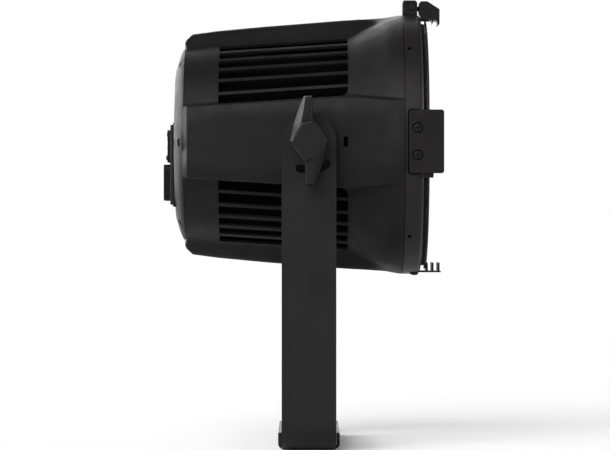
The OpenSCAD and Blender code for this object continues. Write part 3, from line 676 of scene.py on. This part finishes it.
def build_rail_shadow_strip(side, name):
    """Near-black strip on the ring round the three inner edges of a side rail: painted shadow
    standing for the shade in the gap between rail and ring.
    """
    path = [(x, RAIL_HALF, 0, 1) for x in (109, 106, 103)]
    for degrees in range(90, 181, 15):
        c, s = math.cos(math.radians(degrees)), math.sin(math.radians(degrees))
        path.append((RAIL_REAR + RAIL_CORNER * (1 + c), RAIL_HALF - RAIL_CORNER * (1 - s), c, s))
    path += [(RAIL_REAR, z, -1, 0) for z in np.linspace(26, 0, 8)]
    path += [(x, -z, nx, -nz) for x, z, nx, nz in path[::-1][1:]]
    points, faces = [], []
    for x, z, nx, nz in path:
        for reach, level in ((-0.4, None), (1.1, None), (1.1, 0.2), (-0.4, 0.2)):
            px, pz = x + nx * reach, z + nz * reach
            skin = math.sqrt(RING_RADIUS ** 2 - pz ** 2)
            points.append((px, side * (SEAT_DEPTH if level is None else skin + level), pz))
    for i in range(len(path) - 1):
        for c in range(4):
            d = (c + 1) % 4
            faces.append((i * 4 + c, i * 4 + d, i * 4 + 4 + d, i * 4 + 4 + c))
    last = (len(path) - 1) * 4
    faces += [(3, 2, 1, 0), (last, last + 1, last + 2, last + 3)]
    piece = outward_normals(new_mesh(name, [(float(x), float(y), float(z)) for x, y, z in points],
                                     faces, False))
    # the near-black screen material paints the shadow in the rail's gap
    add_detail(piece, "front_ring", "screen_plastic")


def build_window_rim():
    """Painted edge of the clear pane."""
    points, faces = [], []
    profile = [(124.9, 116.35), (125.9, 116.3), (126.15, 116.5), (126.15, 118.3), (125.8, 118.62),
               (124.9, 118.55)]
    add_lathe(points, faces, profile, lambda r, h, c, s: (h, r * c, r * s), 144)
    piece = outward_normals(new_mesh("window_rim", points, faces))
    add_detail(piece, "front_window", "ring_paint")


# painted shadow strips along the inner edges of both side rails
build_rail_shadow_strip(-1, "rail_shadow_strip_right")
build_rail_shadow_strip(1, "rail_shadow_strip_left")
build_window_rim()

# ---------- pieces that keep the CAD shape, with rounded edges ----------

# node: (width of the rounding in millimetres, segments)
EDGES = {
    "yoke": (0.7, 3), "rear_cover": (0.6, 2), "connector_plate": (0.4, 2),
    "front_ring": (0.8, 3), "side_rail_right": (0.5, 2),
    "side_rail_left": (0.5, 2), "bottom_rail": (0.3, 2), "latch_base": (0.5, 2),
    "latch_lever": (0.4, 2), "display_bezel": (0.4, 2), "display_window": (0.2, 1),
    "data_in_socket": (0.35, 2), "data_out_socket": (0.35, 2), "release_tab": (0.3, 2),
    "power_in_socket": (0.5, 2), "power_out_socket": (0.5, 2), "fuse_holder": (0.3, 2),
    "fuse_cap": (0.3, 2), "latch_screws": (0.15, 2),
    "latch_pin": (0.2, 2), "ring_screws": (0.15, 1), "menu_button_1": (0.3, 2),
    "menu_button_2": (0.3, 2), "menu_button_3": (0.3, 2), "menu_button_4": (0.3, 2),
    "front_window": (0.4, 2), "lenses": (0.5, 2), "lens_holder": (0.3, 2),
    "washer_right": (0.2, 2), "washer_left": (0.2, 2), "pivot_inserts": (0.3, 1),
}
for node, (width, segments) in EDGES.items():
    refine(node, width, segments)

# the other nodes are carried over as they are
for node, item in frame["nodes"].items():
    if not item.hide_render:
        item.data.materials.clear()
        item.data.materials.append(LOOKS[SLOTS[node]])

# ---------- floor, light and camera ----------

def build_floor(far):
    """Pale paper just below the feet, far enough out to have no visible edge."""
    mesh = bpy.data.meshes.new("floor")
    corners = [(-far, -far, 0), (far, -far, 0), (far, far, 0), (-far, far, 0)]
    mesh.from_pydata(corners, [], [(0, 1, 2, 3)])
    mesh.materials.append(
        Shader("floor_paper", (0.7, 0.7, 0.7), 0.9, level=0.1).mottle(3, 0.01).gloss(5, 0.03)
        .grain(300, 0.00001).done())
    floor = bpy.data.objects.new("floor", mesh)
    floor.location.z = -0.0004
    bpy.context.scene.collection.objects.link(floor)


def studio_world(seen, lit):
    """A plain pale backdrop that lights the object less than it shows."""
    world = bpy.data.worlds.new("studio")
    bpy.context.scene.world = world
    world.use_nodes = True
    nodes, links = world.node_tree.nodes, world.node_tree.links
    ray = nodes.new("ShaderNodeLightPath")
    strength = nodes.new("ShaderNodeMapRange")
    strength.inputs["To Min"].default_value = lit
    strength.inputs["To Max"].default_value = seen
    links.new(ray.outputs["Is Camera Ray"], strength.inputs["Value"])
    nodes["Background"].inputs["Color"].default_value = (1, 1, 1, 1)
    links.new(strength.outputs["Result"], nodes["Background"].inputs["Strength"])


def soft_sun(name, place, strength, degrees):
    """Even light from one side that leaves no edge on the floor."""
    data = bpy.data.lights.new(name, "SUN")
    data.energy = strength
    data.angle = math.radians(degrees)
    light = bpy.data.objects.new(name, data)
    light.rotation_mode = "QUATERNION"
    light.rotation_quaternion = (-Vector(place)).to_track_quat("-Z", "Y")
    bpy.context.scene.collection.objects.link(light)


build_floor(40.0)
studio_world(1.0, 0.12)
for name, place, strength, degrees in (
        ("sky_light", (-1.2, -2.4, 1.92), 2.9, 50), ("back_light", (-0.9, 2.6, 0.7), 2.6, 60),
        ("rim_light", (-2.2, 1.0, 0.62), 3.0, 30), ("side_light", (-2.4, -0.25, 0.62), 0.9, 30),
        ("knob_light", (-1.6, -1.9, 1.3), 0.25, 25), ("fill_light", (2.3, -0.85, 0.5), 1.4, 30),
        ("edge_light", (2.2, 0.7, 0.3), 1.6, 30)):
    soft_sun(name, place, strength, degrees)

# the camera stands level, about 3.3 m to the right of the light
camera_data = bpy.data.cameras.new("camera")
camera_data.lens = 190.9
camera_data.sensor_width = 36
camera_data.clip_start, camera_data.clip_end = 0.1, 200
camera = bpy.data.objects.new("camera", camera_data)
camera.location = (-0.0039, -3.3, 0.2211)
camera.rotation_euler = (math.pi / 2, 0, 0)
bpy.context.scene.collection.objects.link(camera)
bpy.context.scene.camera = camera
bpy.context.scene.view_settings.view_transform = "Standard"
